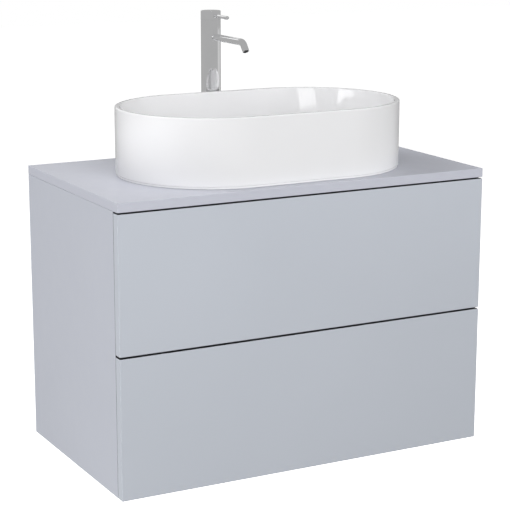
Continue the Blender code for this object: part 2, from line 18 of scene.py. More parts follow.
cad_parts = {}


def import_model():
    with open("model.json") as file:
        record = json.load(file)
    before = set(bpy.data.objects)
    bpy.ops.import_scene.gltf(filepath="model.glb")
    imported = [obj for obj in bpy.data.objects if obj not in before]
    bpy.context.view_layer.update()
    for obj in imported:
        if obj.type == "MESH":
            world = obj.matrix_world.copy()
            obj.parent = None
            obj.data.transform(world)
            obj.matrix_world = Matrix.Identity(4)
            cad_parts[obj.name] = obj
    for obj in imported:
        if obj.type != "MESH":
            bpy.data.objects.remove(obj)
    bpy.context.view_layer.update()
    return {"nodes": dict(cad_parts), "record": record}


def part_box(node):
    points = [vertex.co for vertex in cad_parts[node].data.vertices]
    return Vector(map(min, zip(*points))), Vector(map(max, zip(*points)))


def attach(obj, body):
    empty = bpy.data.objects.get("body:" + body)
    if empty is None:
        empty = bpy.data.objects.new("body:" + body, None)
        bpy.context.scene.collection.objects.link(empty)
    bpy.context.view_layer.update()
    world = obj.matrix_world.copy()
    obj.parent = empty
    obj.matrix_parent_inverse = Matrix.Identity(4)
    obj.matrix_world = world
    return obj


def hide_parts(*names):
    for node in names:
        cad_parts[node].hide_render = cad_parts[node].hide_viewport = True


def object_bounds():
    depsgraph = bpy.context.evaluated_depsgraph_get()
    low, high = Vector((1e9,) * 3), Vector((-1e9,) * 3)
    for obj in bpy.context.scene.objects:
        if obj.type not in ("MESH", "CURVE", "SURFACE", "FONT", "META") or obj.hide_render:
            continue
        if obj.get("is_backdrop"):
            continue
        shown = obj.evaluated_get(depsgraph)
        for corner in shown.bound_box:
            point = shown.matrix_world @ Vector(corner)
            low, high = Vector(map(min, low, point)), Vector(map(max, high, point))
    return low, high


LOG = logging.getLogger("vanity")
MM = 0.001
TAU = 2.0 * math.pi
GAP_SHADE_COLOUR = (0.030, 0.031, 0.034)    # painted shade: near-black colour on board edges, standing in for the shade in the gaps between the fronts
CARCASS_COLOUR = (0.565, 0.586, 0.650)
FRONT_ZONE = -0.3                    # carcass boards that reach further forward get that painted shade on their front edges
# Corners of the glowing cards that show only in polished surfaces, in metres.
WINDOW_LEFT = ((-0.301, -1.769, 0.624), (-0.877, -1.473, 0.630),
               (-0.997, -1.388, 0.553), (-0.413, -1.749, 0.549))
WINDOW_RIGHT = ((-1.156, -0.559, 0.522), (-1.199, -0.006, 0.475), (-1.202, -0.002, 0.449),
                (-1.208, -0.319, 0.472), (-1.173, -0.534, 0.466), (-1.158, -0.587, 0.470))
BAND_RIGHT = ((1.91, -1.13, -0.60), (2.17, 0.35, -0.60), (2.17, 0.35, 0.15), (1.91, -1.13, 0.15))
BAND_BACK = ((-0.60, 1.80, 0.60), (0.60, 1.80, 0.60), (0.60, 1.80, 1.30), (-0.60, 1.80, 1.30))


# ---------------------------------------------------------------------------
# Node helper
# ---------------------------------------------------------------------------
class Nodes:
    """A material's node tree with short calls for adding and joining nodes."""

    def __init__(self, name: str) -> None:
        """Start a material that has only its Principled shader and output.

        Args:
            name: the material's name.
        """
        self.material = bpy.data.materials.new(name)
        self.material.use_nodes = True
        self.tree = self.material.node_tree
        self.shader = self.tree.nodes["Principled BSDF"]
        places = self.add("ShaderNodeTexCoord")
        self.coords, self.facing = places.outputs["Object"], places.outputs["Normal"]

    def add(self, kind: str, **settings: object) -> bpy.types.Node:
        """Add a node and set its plain attributes.

        Args:
            kind: the node's type.
            settings: its attributes by name.

        Returns:
            The node.
        """
        node = self.tree.nodes.new(kind)
        for key, value in settings.items():
            setattr(node, key, value)
        return node

    def link(self, source: bpy.types.NodeSocket, target: bpy.types.NodeSocket) -> None:
        """Join one socket to another."""
        self.tree.links.new(source, target)

    def set(self, **values: object) -> None:
        """Set constants on the shader's own sockets, named with underscores for spaces."""
        for key, value in values.items():
            self.shader.inputs[key.replace("_", " ")].default_value = value

    def stretched(self, scale: tuple[float, float, float]) -> bpy.types.NodeSocket:
        """Object coordinates scaled differently along each axis.

        Args:
            scale: the factor along each axis.

        Returns:
            The vector socket.
        """
        mapping = self.add("ShaderNodeMapping")
        mapping.inputs["Scale"].default_value = scale
        self.link(self.coords, mapping.inputs["Vector"])
        return mapping.outputs["Vector"]

    def noise(self, scale: float, detail: float = 2.0, roughness: float = 0.5,
              vector: bpy.types.NodeSocket | None = None) -> bpy.types.NodeSocket:
        """Noise on object coordinates.

        Args:
            scale: number of lumps to a metre.
            detail: octaves.
            roughness: strength of the finer octaves.
            vector: coordinates, or None for plain object coordinates.

        Returns:
            The factor socket, about 0.5 on average.
        """
        node = self.add("ShaderNodeTexNoise")
        node.inputs["Scale"].default_value = scale
        node.inputs["Detail"].default_value = detail
        node.inputs["Roughness"].default_value = roughness
        self.link(vector or self.coords, node.inputs["Vector"])
        return node.outputs["Fac"]

    def ramp(self, factor: bpy.types.NodeSocket, low: tuple, high: tuple,
             start: float = 0.3, end: float = 0.7) -> bpy.types.NodeSocket:
        """Map a factor to a colour between two ends.

        Args:
            factor: the socket to map.
            low: colour at the start.
            high: colour at the end.
            start: factor at which the low colour ends.
            end: factor from which the high colour holds.

        Returns:
            The colour socket.
        """
        node = self.add("ShaderNodeValToRGB")
        stops = node.color_ramp.elements
        stops[0].position, stops[1].position = start, end
        stops[0].color, stops[1].color = (*low, 1.0), (*high, 1.0)
        self.link(factor, node.inputs["Fac"])
        return node.outputs["Color"]

    def spread(self, factor: bpy.types.NodeSocket, low: float, high: float) -> bpy.types.NodeSocket:
        """Map a factor, which mostly lies between 0.3 and 0.7, to a range of values.

        Args:
            factor: the socket to map.
            low: value at 0.3.
            high: value at 0.7.

        Returns:
            The value socket.
        """
        node = self.add("ShaderNodeMapRange")
        for key, value in (("From Min", 0.3), ("From Max", 0.7), ("To Min", low), ("To Max", high)):
            node.inputs[key].default_value = value
        self.link(factor, node.inputs["Value"])
        return node.outputs["Result"]

    def faces_along(self, axis: str) -> bpy.types.NodeSocket:
        """A mask that is one where the surface faces along an axis.

        Args:
            axis: "Z" for both ways along Z, "-Y" for the one way towards lower Y.

        Returns:
            The mask's socket.
        """
        parts = self.add("ShaderNodeSeparateXYZ")
        self.link(self.facing, parts.inputs[0])
        size = self.add("ShaderNodeMath", operation="MULTIPLY" if axis.startswith("-") else "ABSOLUTE")
        size.inputs[1].default_value = -1.0      # ABSOLUTE takes one input and leaves this one unread
        self.link(parts.outputs[axis[-1]], size.inputs[0])
        over = self.add("ShaderNodeMath", operation="GREATER_THAN")
        self.link(size.outputs[0], over.inputs[0])
        over.inputs[1].default_value = 0.8
        return over.outputs[0]

    def mix(self, mask: bpy.types.NodeSocket, off: bpy.types.NodeSocket,
            on: bpy.types.NodeSocket) -> bpy.types.NodeSocket:
        """Choose between two colours by a mask.

        Args:
            mask: socket that is 0 or 1.
            off: colour where the mask is 0.
            on: colour where the mask is 1.

        Returns:
            The colour socket.
        """
        node = self.add("ShaderNodeMix", data_type="RGBA")
        self.link(mask, node.inputs["Factor"])
        colours = [socket for socket in node.inputs if socket.type == "RGBA"]
        self.link(off, colours[0])
        self.link(on, colours[1])
        return next(socket for socket in node.outputs if socket.type == "RGBA")

    def bump(self, height: bpy.types.NodeSocket, distance: float, strength: float = 1.0,
             below: bpy.types.NodeSocket | None = None) -> bpy.types.NodeSocket:
        """A bump of a real depth, laid over another one where given.

        Args:
            height: the relief's socket.
            distance: depth in metres.
            strength: share of the relief that shows.
            below: normal socket of the bump underneath.

        Returns:
            The normal socket.
        """
        node = self.add("ShaderNodeBump")
        node.inputs["Strength"].default_value = strength
        node.inputs["Distance"].default_value = distance
        self.link(height, node.inputs["Height"])
        if below is not None:
            self.link(below, node.inputs["Normal"])
        return node.outputs["Normal"]

    def wear(self, colour: bpy.types.NodeSocket | None, normal: bpy.types.NodeSocket | None,
             roughness: bpy.types.NodeSocket | None) -> bpy.types.Material:
        """Join the finished channels to the shader.

        Args:
            colour: base colour socket.
            normal: normal socket.
            roughness: roughness socket.

        Returns:
            The material.
        """
        for socket, name in ((colour, "Base Color"), (normal, "Normal"), (roughness, "Roughness")):
            if socket is not None:
                self.link(socket, self.shader.inputs[name])
        return self.material


def shade(colour: tuple[float, float, float], factor: float) -> tuple[float, float, float]:
    """A colour made lighter or darker by a factor."""
    return tuple(min(1.0, c * factor) for c in colour)


# ---------------------------------------------------------------------------
# Finishes
# ---------------------------------------------------------------------------
@dataclass(frozen=True)
class Lacquer:
    """Sprayed matt lacquer on board: a faint cloudiness and the fine orange peel of the gun."""

    name: str
    colour: tuple[float, float, float]
    roughness: float = 0.42
    painted_shade_axis: str | None = None

    def material(self) -> bpy.types.Material:
        """Build the lacquer material, with painted shade: a near-black band on the edges square to an
        axis, for the shade in the gaps.

        Returns:
            The material.
        """
        nodes = Nodes(self.name)
        nodes.set(Specular_IOR_Level=0.45)
        cloud = nodes.noise(2.6, 3.0)
        colour = nodes.ramp(cloud, shade(self.colour, 0.985), shade(self.colour, 1.015))
        # painted shade: faces along the axis turn near-black for the shade that falls in the gaps
        if self.painted_shade_axis:
            gap_shade = nodes.ramp(cloud, GAP_SHADE_COLOUR, shade(GAP_SHADE_COLOUR, 1.3))
            colour = nodes.mix(nodes.faces_along(self.painted_shade_axis), colour, gap_shade)
        peel = nodes.bump(nodes.noise(420.0, 2.0, 0.45), 0.04 * MM, 0.55)
        rough = nodes.spread(nodes.noise(35.0, 3.0), self.roughness - 0.03, self.roughness + 0.04)
        return nodes.wear(colour, peel, rough)


@dataclass(frozen=True)
class Glaze:
    """Fired white glaze: glossy, with a slow ripple and a trace of warm and cool body colour."""

    name: str
    colour: tuple[float, float, float]
    roughness: float = 0.035

    def material(self) -> bpy.types.Material:
        """Build the glaze material.

        Returns:
            The material.
        """
        nodes = Nodes(self.name)
        nodes.set(Specular_IOR_Level=0.5, Coat_Weight=0.35, Coat_Roughness=0.03)
        colour = nodes.ramp(nodes.noise(5.0, 3.0), shade(self.colour, 0.99), shade(self.colour, 1.008))
        ripple = nodes.bump(nodes.noise(9.0, 1.0), 0.12 * MM, 0.3)
        pores = nodes.bump(nodes.noise(900.0, 1.0), 0.012 * MM, 0.35, ripple)
        rough = nodes.spread(nodes.noise(24.0, 2.0), self.roughness - 0.015, self.roughness + 0.02)
        return nodes.wear(colour, pores, rough)


@dataclass(frozen=True)
class Metal:
    """Plated, polished or bare metal, with faint smears that dull it in places."""

    name: str
    colour: tuple[float, float, float]
    roughness: float
    smear: float = 0.02
    grain: tuple[float, float, float] | None = None

    def material(self) -> bpy.types.Material:
        """Build the metal material, with a directional grain where one is given.

        Returns:
            The material.
        """
        nodes = Nodes(self.name)
        nodes.set(Metallic=1.0)
        colour = nodes.ramp(nodes.noise(18.0, 3.0), shade(self.colour, 0.97), shade(self.colour, 1.02))
        low = max(0.01, self.roughness - self.smear)
        rough = nodes.spread(nodes.noise(40.0, 4.0, 0.6), low, self.roughness + self.smear)
        vector = nodes.stretched(self.grain) if self.grain else None
        scale, depth = (1.0, 0.03 * MM) if self.grain else (260.0, 0.003 * MM)
        return nodes.wear(colour, nodes.bump(nodes.noise(scale, 4.0, 0.6, vector), depth, 0.5), rough)


@dataclass(frozen=True)
class Zinc:
    """Zinc-plated sheet steel with its faint crystal spangle."""

    name: str
    colour: tuple[float, float, float]
    roughness: float = 0.34

    def material(self) -> bpy.types.Material:
        """Build the plated-sheet material.

        Returns:
            The material.
        """
        nodes = Nodes(self.name)
        nodes.set(Metallic=0.95)
        cells = nodes.add("ShaderNodeTexVoronoi", feature="F1")
        cells.inputs["Scale"].default_value = 140.0
        nodes.link(nodes.coords, cells.inputs["Vector"])
        tone = nodes.add("ShaderNodeSeparateColor")
        nodes.link(cells.outputs["Color"], tone.inputs["Color"])
        spangle = tone.outputs[0]
        colour = nodes.ramp(spangle, shade(self.colour, 0.93), shade(self.colour, 1.05), 0.0, 1.0)
        rough = nodes.spread(spangle, self.roughness - 0.05, self.roughness + 0.06)
        return nodes.wear(colour, nodes.bump(nodes.noise(600.0, 2.0), 0.01 * MM, 0.5), rough)


@dataclass(frozen=True)
class Melamine:
    """Melamine-faced drawer board with a pressed linen grain."""

    name: str
    colour: tuple[float, float, float]
    roughness: float = 0.5

    def material(self) -> bpy.types.Material:
        """Build the board material from two crossed sets of threads.

        Returns:
            The material.
        """
        nodes = Nodes(self.name)
        nodes.set(Specular_IOR_Level=0.4)
        across = nodes.noise(1.0, 3.0, 0.6, nodes.stretched((900.0, 60.0, 900.0)))
        along = nodes.noise(1.0, 3.0, 0.6, nodes.stretched((60.0, 900.0, 60.0)))
        threads = nodes.add("ShaderNodeMath", operation="ADD")
        nodes.link(across, threads.inputs[0])
        nodes.link(along, threads.inputs[1])
        half = nodes.add("ShaderNodeMath", operation="MULTIPLY")
        nodes.link(threads.outputs[0], half.inputs[0])
        half.inputs[1].default_value = 0.5
        weave = half.outputs[0]
        colour = nodes.ramp(weave, shade(self.colour, 0.95), shade(self.colour, 1.03))
        rough = nodes.spread(weave, self.roughness - 0.05, self.roughness + 0.06)
        return nodes.wear(colour, nodes.bump(weave, 0.06 * MM, 0.6), rough)


@dataclass(frozen=True)
class Moulded:
    """Moulded plastic, rubber or sealant with a fine spark-eroded skin."""

    name: str
    colour: tuple[float, float, float]
    roughness: float
    depth: float = 0.02 * MM

    def material(self) -> bpy.types.Material:
        """Build the moulded material.

        Returns:
            The material.
        """
        nodes = Nodes(self.name)
        nodes.set(Specular_IOR_Level=0.4)
        colour = nodes.ramp(nodes.noise(60.0, 3.0), shade(self.colour, 0.96), shade(self.colour, 1.03))
        skin_relief = nodes.bump(nodes.noise(1500.0, 2.0), self.depth, 0.6)
        rough = nodes.spread(nodes.noise(120.0, 2.0), self.roughness - 0.04, self.roughness + 0.05)
        return nodes.wear(colour, skin_relief, rough)


@dataclass(frozen=True)
class PiercedFace:
    """The flow straightener's face: dark plastic pierced by close six-sided cells, with painted shade in
    the holes.
    """

    name: str
    colour: tuple[float, float, float] = (0.012, 0.012, 0.013)
    pitch: float = 0.9 * MM

    def material(self) -> bpy.types.Material:
        """Build the pierced-face material from the edges of a cell pattern, with the cells' middles
        painted darker as the shade in the holes.

        Returns:
            The material.
        """
        nodes = Nodes(self.name)
        nodes.set(Roughness=0.35)
        cells = nodes.add("ShaderNodeTexVoronoi", feature="DISTANCE_TO_EDGE")
        cells.inputs["Scale"].default_value = 1.0 / self.pitch
        cells.inputs["Randomness"].default_value = 0.15
        nodes.link(nodes.coords, cells.inputs["Vector"])
        edge = cells.outputs["Distance"]
        # painted shade: cell middles darker than the webs, for the shade inside the holes
        colour = nodes.ramp(edge, shade(self.colour, 2.4), shade(self.colour, 0.5), 0.05, 0.25)
        return nodes.wear(colour, nodes.bump(edge, -0.3 * MM, 0.8), None)


class Finish(Enum):
    """Every finish on the object, by the record's slot it stands for."""

    WORKTOP = ("worktop_lacquer", Lacquer("worktop_matt_lacquer", (0.576, 0.590, 0.660), 0.40))
    # painted shade: the fronts' top and bottom edges are near-black for the shade in the gaps between
    # them
    FRONT = ("front_lacquer", Lacquer("front_matt_lacquer", (0.565, 0.597, 0.654), 0.42, "Z"))
    CARCASS = ("carcass_lacquer", Lacquer("carcass_matt_lacquer", CARCASS_COLOUR, 0.44))
    # painted shade: this carcass lacquer turns its front edges near-black for the shade in the gaps
    CARCASS_EDGED = ("carcass_lacquer", Lacquer("carcass_gap_shaded_lacquer", CARCASS_COLOUR, 0.44, "-Y"))
    BOARD = ("drawer_board", Melamine("drawer_melamine", (0.600, 0.603, 0.610)))
    ZINC = ("galvanised_steel", Zinc("zinc_plated_sheet", (0.58, 0.59, 0.61)))
    STEEL = ("steel", Metal("bright_steel", (0.60, 0.60, 0.61), 0.28, 0.06, (40.0, 40.0, 900.0)))
    GLAZE = ("ceramic", Glaze("white_glaze", (0.868, 0.868, 0.879)))
    CHROME = ("chrome", Metal("polished_chrome", (0.930, 0.932, 0.940), 0.045, 0.02))
    BRASS = ("brass", Metal("turned_brass", (0.70, 0.54, 0.28), 0.26, 0.06))
    WHITE_PLASTIC = ("white_plastic", Moulded("cartridge_plastic", (0.80, 0.80, 0.79), 0.4))
    GREY_PLASTIC = ("grey_plastic", Moulded("surround_plastic", (0.36, 0.37, 0.39), 0.46))
    BLACK_PLASTIC = ("black_plastic", PiercedFace("aerator_mesh"))
    RUBBER = ("rubber", Moulded("black_rubber", (0.035, 0.035, 0.036), 0.7))
    SILICONE = ("silicone", Moulded("clear_white_sealant", (0.74, 0.75, 0.76), 0.32, 0.004 * MM))

    @property
    def slot(self) -> str:
        """The record's material slot."""
        return self.value[0]

    @property
    def material(self) -> bpy.types.Material:
        """The Blender material, built once."""
        found = bpy.data.materials.get(self.value[1].name)
        return found or self.value[1].material()


# ---------------------------------------------------------------------------
# Surfaces
# ---------------------------------------------------------------------------
class Ends(Enum):
    """How the first and last rings of a skin are finished."""

    JOINED = "joined"      # the last ring meets the first one, as on a tube's whole wall
    CAPPED = "capped"      # each end ring is filled with one flat face
    POLES = "poles"        # each end ring has shrunk to one point on the axis


def grid_normals(grid: np.ndarray, joined: bool) -> np.ndarray:
    """Normals of a grid of rings, from the cross product of its two directions.

    The directions are central differences, so a long flat band outweighs the short steps of
    the round beside it and stays truly flat.

    Args:
        grid: points, rings by points by 3.
        joined: whether the last ring meets the first.

    Returns:
        Unit normals of the same shape.
    """
    along = np.roll(grid, -1, axis=1) - np.roll(grid, 1, axis=1)
    across = np.roll(grid, -1, axis=0) - np.roll(grid, 1, axis=0)
    if not joined:
        across[0] = grid[1] - grid[0]
        across[-1] = grid[-1] - grid[-2]
    normal = np.cross(along, across)
    length = np.linalg.norm(normal, axis=2, keepdims=True)
    return normal / np.maximum(length, 1e-12)


def skin(name: str, grid: np.ndarray, ends: Ends, finish: Finish) -> bpy.types.Object:
    """Make a closed mesh object from rings of points, faces outwards and normals set.

    Each quad joins point j and j + 1 of ring i to the same points of ring i + 1; the points of a
    ring always close on themselves.

    Args:
        name: the object's name.
        grid: points, rings by points by 3.
        ends: how the end rings are finished.
        finish: the piece's finish.

    Returns:
        The new object.
    """
    rings, count, _ = grid.shape
    normals = grid_normals(grid, ends is Ends.JOINED)
    if ends is Ends.POLES:
        inner = grid[1:-1]
        points = np.vstack([inner.reshape(-1, 3), grid[0].mean(0), grid[-1].mean(0)])
        tips = np.vstack([normals[1].mean(0), normals[-2].mean(0)])
        vertex_normals = np.vstack([normals[1:-1].reshape(-1, 3), tips])
        rings -= 2
    else:
        points = grid.reshape(-1, 3)
        vertex_normals = normals.reshape(-1, 3)
    i = np.arange(rings if ends is Ends.JOINED else rings - 1)[:, None]
    j = np.arange(count)[None, :]
    after, ahead = (i + 1) % rings, (j + 1) % count
    near, far = i * count, after * count
    quads = np.stack([near + j, near + ahead, far + ahead, far + j], axis=-1)
    faces = quads.reshape(-1, 4).tolist()
    first, last = np.arange(count), (rings - 1) * count + np.arange(count)
    if ends is Ends.CAPPED:
        faces += [first[::-1].tolist(), last.tolist()]
    if ends is Ends.POLES:
        start, end = rings * count, rings * count + 1
        faces += np.stack([np.full(count, start), np.roll(first, -1), first], axis=1).tolist()
        faces += np.stack([np.full(count, end), last, np.roll(last, -1)], axis=1).tolist()
    if signed_volume(points, faces) < 0.0:
        faces = [face[::-1] for face in faces]
    mesh = bpy.data.meshes.new(name)
    mesh.from_pydata(points.tolist(), [], faces)
    mesh.shade_smooth()
    face_normals = np.zeros(len(mesh.vertices) * 3)
    mesh.vertices.foreach_get("normal", face_normals)
    facing = np.sum(face_normals.reshape(-1, 3) * vertex_normals, axis=1, keepdims=True)
    vertex_normals = np.where(facing < 0.0, -vertex_normals, vertex_normals)
    lengths = np.linalg.norm(vertex_normals, axis=1, keepdims=True)
    vertex_normals = np.where(lengths > 0.5, vertex_normals / np.maximum(lengths, 1e-9),
                              face_normals.reshape(-1, 3))
    mesh.normals_split_custom_set_from_vertices(vertex_normals.tolist())
    mesh.materials.append(finish.material)
    piece = bpy.data.objects.new(name, mesh)
    bpy.context.scene.collection.objects.link(piece)
    return piece


def signed_volume(points: np.ndarray, faces: list[list[int]]) -> float:
    """Volume inside a closed mesh, negative when its faces point inwards.

    It is the sum over triangles of the dot product of one corner with the cross product of the
    other two, over six.

    Args:
        points: the mesh's points, N by 3.
        faces: the point numbers of each face.

    Returns:
        The volume.
    """
    triangles = [(f[0], f[k], f[k + 1]) for f in faces for k in range(1, len(f) - 1)]
    a, b, c = (points[np.array(triangles)[:, k]] for k in range(3))
    return float(np.sum(a * np.cross(b, c)) / 6.0)


def rounded_outline(corners: list[tuple[float, float, float]], closed: bool, steps: int = 6,
                    spacing: float = 0.02) -> np.ndarray:
    """An outline whose corners are replaced by tangent arcs.

    At a corner with unit directions u in and v out and radius r, the arc starts r times the
    tangent of half the turn before the corner; its points blend the two tangent points by the
    formula of a circle through them.

    Args:
        corners: (a, b, radius) for each corner in order.
        closed: whether the last corner joins the first.
        steps: segments in each arc.
        spacing: longest straight step between arcs.

    Returns:
        The outline's points, N by 2.
    """
    place = np.array([c[:2] for c in corners], float)
    pieces: list[np.ndarray] = []
    for k, (_, _, radius) in enumerate(corners):
        here = place[k]
        if (not closed and k in (0, len(corners) - 1)) or radius <= 0.0:
            pieces.append(here[None, :])
            continue
        back = place[k - 1] - here
        ahead = place[(k + 1) % len(corners)] - here
        back_length, ahead_length = np.linalg.norm(back), np.linalg.norm(ahead)
        back, ahead = back / back_length, ahead / ahead_length
        half = 0.5 * math.acos(float(np.clip(back @ ahead, -1.0, 1.0)))
        reach = min(radius / math.tan(half), 0.49 * back_length, 0.49 * ahead_length)
        true_radius = reach * math.tan(half)
        middle = back + ahead
        centre = here + middle / np.linalg.norm(middle) * true_radius / math.sin(half)
        start, stop = here + back * reach - centre, here + ahead * reach - centre
        turn = math.pi - 2.0 * half
        t = np.linspace(0.0, 1.0, steps + 1)[:, None]
        arc = (np.sin((1.0 - t) * turn) * start + np.sin(t * turn) * stop) / math.sin(turn)
        pieces.append(centre + arc)
    filled: list[np.ndarray] = []
    for k, piece in enumerate(pieces):
        filled.append(piece)
        if k + 1 == len(pieces) and not closed:
            break
        start, stop = piece[-1], pieces[(k + 1) % len(pieces)][0]
        extra = int(np.linalg.norm(stop - start) // spacing)
        if extra:
            t = np.linspace(0.0, 1.0, extra + 2)[1:-1, None]
            filled.append(start + (stop - start) * t)
    return np.vstack(filled)


@dataclass(frozen=True)
class StraightAxis:
    """A straight axis to turn an outline about."""

    origin: tuple[float, float, float]
    direction: tuple[float, float, float] = (0.0, 0.0, 1.0)

    def frames(self, t: np.ndarray) -> tuple[np.ndarray, np.ndarray, np.ndarray]:
        """Centres and the two cross directions along the axis.

        Args:
            t: distances along the axis.

        Returns:
            The centres, the side directions and the up directions, each N by 3.
        """
        direction = np.array(self.direction, float)
        helper = np.array([1.0, 0.0, 0.0]) if abs(direction[0]) < 0.9 else np.array([0.0, 1.0, 0.0])
        side = np.cross(helper, direction)
        side /= np.linalg.norm(side)
        up = np.cross(direction, side)
        centres = np.array(self.origin) + t[:, None] * direction
        return centres, np.broadcast_to(side, centres.shape), np.broadcast_to(up, centres.shape)


@dataclass(frozen=True)
class BentAxis:
    """An axis that runs along -Y, bends down through an angle and runs straight again."""

    start: tuple[float, float, float]
    run: float
    radius: float
    bend: float

    def frames(self, t: np.ndarray) -> tuple[np.ndarray, np.ndarray, np.ndarray]:
        """Centres and the two cross directions along the bent axis.

        The angle turned grows from 0 after the run to the full bend, as distance over radius,
        and the centre is the run, plus the arc's chord, plus what is left straight on.

        Args:
            t: distances along the axis.

        Returns:
            The centres, the side directions and the up directions, each N by 3.
        """
        angle = np.clip((t - self.run) / self.radius, 0.0, self.bend)
        rest = np.maximum(t - self.run - self.radius * self.bend, 0.0)
        forward = np.minimum(t, self.run) + self.radius * np.sin(angle) + rest * math.cos(self.bend)
        drop = self.radius * (1.0 - np.cos(angle)) + rest * math.sin(self.bend)
        x0, y0, z0 = self.start
        centres = np.stack([np.full_like(t, x0), y0 - forward, z0 - drop], axis=1)
        side = np.broadcast_to(np.array([1.0, 0.0, 0.0]), centres.shape)
        up = np.stack([np.zeros_like(t), -np.sin(angle), np.cos(angle)], axis=1)
        return centres, side, up


def turned_grid(outline: np.ndarray, axis: StraightAxis | BentAxis, count: int) -> np.ndarray:
    """Turn an outline of (radius, distance) about an axis.

    The point at angle q is the axis's centre plus radius times cosine q along one cross
    direction and sine q along the other.

    Args:
        outline: (radius, distance along the axis), N by 2.
        axis: the axis to turn about.
        count: points round the axis.

    Returns:
        The grid of rings, N by count by 3.
    """
    centres, side, up = axis.frames(outline[:, 1])
    q = np.linspace(0.0, TAU, count, endpoint=False)[None, :, None]
    radius = outline[:, 0][:, None, None]
    return centres[:, None, :] + radius * (np.cos(q) * side[:, None, :] + np.sin(q) * up[:, None, :])


def turned(name: str, corners: list[tuple[float, float, float]], axis: StraightAxis | BentAxis,
           finish: Finish, count: int = 96, closed: bool = True, steps: int = 6,
           spacing: float = 0.02) -> bpy.types.Object:
    """A turned piece from the corners of its section.

    Args:
        name: the piece's name.
        corners: (radius, distance, corner radius).
        axis: the axis to turn about.
        finish: the piece's finish.
        count: points round the axis.
        closed: True for a ring-shaped section, False for one that starts and ends on the axis.
        steps: segments in each corner's arc.
        spacing: longest straight step.

    Returns:
        The new object.
    """
    outline = rounded_outline(corners, closed, steps, spacing)
    return skin(name, turned_grid(outline, axis, count), Ends.JOINED if closed else Ends.POLES, finish)


def rounded_rectangle(half_a: float, half_b: float, radius: float, steps: int = 4) -> np.ndarray:
    """A rectangle's outline about zero, with round corners."""
    corners = [(half_a, half_b, radius), (-half_a, half_b, radius), (-half_a, -half_b, radius),
               (half_a, -half_b, radius)]
    return rounded_outline(corners, True, steps, 10.0)


def slab(name: str, low: np.ndarray, high: np.ndarray, edge: float, finish: Finish) -> bpy.types.Object:
    """A board with eased edges, as nested outlines from one broad face round to the other.

    The inset of each outline and its place through the thickness follow a quarter circle at
    each face, so every edge is a true round.

    Args:
        name: the piece's name.
        low: the board's lowest corner.
        high: the board's highest corner.
        edge: radius of the eased edges.
        finish: the piece's finish.

    Returns:
        The new object.
    """
    low, high = np.array(low, float), np.array(high, float)
    size = high - low
    thin = int(np.argmin(size))
    a, b = [k for k in range(3) if k != thin]
    t = np.linspace(0.0, math.pi / 2, 5)
    inset = np.concatenate([[edge * 5.0], edge * (1.0 - np.sin(t))])
    depth = np.concatenate([[0.0], edge * (1.0 - np.cos(t))])
    inset = np.concatenate([inset, inset[::-1]])
    depth = np.concatenate([depth, size[thin] - depth[::-1]])
    rings = []
    for cut, place in zip(inset, depth):
        corner = max(edge * 1.5 - cut, edge * 0.5)
        outline = rounded_rectangle(size[a] / 2 - cut, size[b] / 2 - cut, corner)
        ring = np.zeros((len(outline), 3))
        ring[:, a] = outline[:, 0] + (low[a] + high[a]) / 2
        ring[:, b] = outline[:, 1] + (low[b] + high[b]) / 2
        ring[:, thin] = low[thin] + place
        rings.append(ring)
    return skin(name, np.array(rings), Ends.CAPPED, finish)


def fit(piece: bpy.types.Object, body: str, finish: Finish, *nodes: str) -> None:
    """Tie a finished piece to its body and the CAD nodes it stands for.

    Args:
        piece: the finished piece.
        body: the body it rides on.
        finish: not used.
        nodes: the CAD nodes it stands for.
    """
    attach(piece, body)
    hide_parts(*nodes)
    LOG.info("piece %s: %d faces on %s", piece.name, len(piece.data.polygons), body)


def corners_of(node: str) -> tuple[np.ndarray, np.ndarray]:
    """A CAD node's lowest and highest corners as arrays."""
    low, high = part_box(node)
    return np.array(low), np.array(high)


# ---------------------------------------------------------------------------
# Sub-assemblies
# ---------------------------------------------------------------------------
@dataclass
class Cabinet:
    """The carcass' side panels and the fronts of the two drawers, as boards with eased edges."""

    edge: float = 1.0 * MM

    def build(self) -> None:
        """Build the eased boards that show."""
        # Side panels and fronts carry painted shade: near-black edges for the shade in the gaps.
        for side in ("left", "right"):
            node = "side_panel_" + side
            fit(slab(node + "_skin", *corners_of(node), self.edge, Finish.CARCASS_EDGED), "cabinet",
                Finish.CARCASS_EDGED, node)
        for drawer in ("upper", "lower"):
            node = drawer + "_drawer_front"
            fit(slab(node + "_skin", *corners_of(node), self.edge, Finish.FRONT), drawer + "_drawer",
                Finish.FRONT, node)


